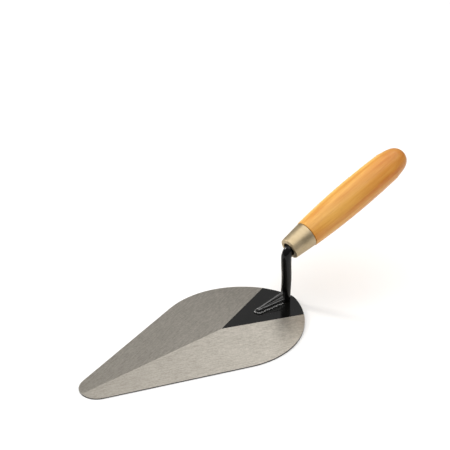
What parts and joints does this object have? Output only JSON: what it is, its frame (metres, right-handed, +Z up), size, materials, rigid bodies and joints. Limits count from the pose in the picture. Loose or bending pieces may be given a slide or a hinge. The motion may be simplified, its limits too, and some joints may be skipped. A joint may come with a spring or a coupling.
{
  "type": "brick trowel",
  "caption": "Brick trowel with a taper-ground pointed steel blade, a black swan-neck shank welded on its foot, a plated ferrule and a varnished wooden handle.",
  "frame": {"origin": "the centre of the bounding box at the level of the blade's flat underside", "axes": "+X from the handle to the tip of the blade, +Z up from the blade's underside, Y across the blade; the tool is symmetrical about Y = 0"},
  "size_m": [0.3578, 0.1206, 0.113],
  "materials": {
    "blade_steel": "ground and brushed, black lacquer on the raised plateau",
    "black_lacquer": "gloss black lacquer over a forging",
    "lacquered_weld": "black lacquer over a rippled weld",
    "ferrule_plating": "satin, pale brassy plating",
    "varnished_wood": "turned, gloss varnish"
  },
  "bodies": {
    "root": {"blade": "blade_steel", "shank": "black_lacquer", "weld_bead": "lacquered_weld", "ferrule": "ferrule_plating", "handle": "varnished_wood"}
  },
  "joints": []
}
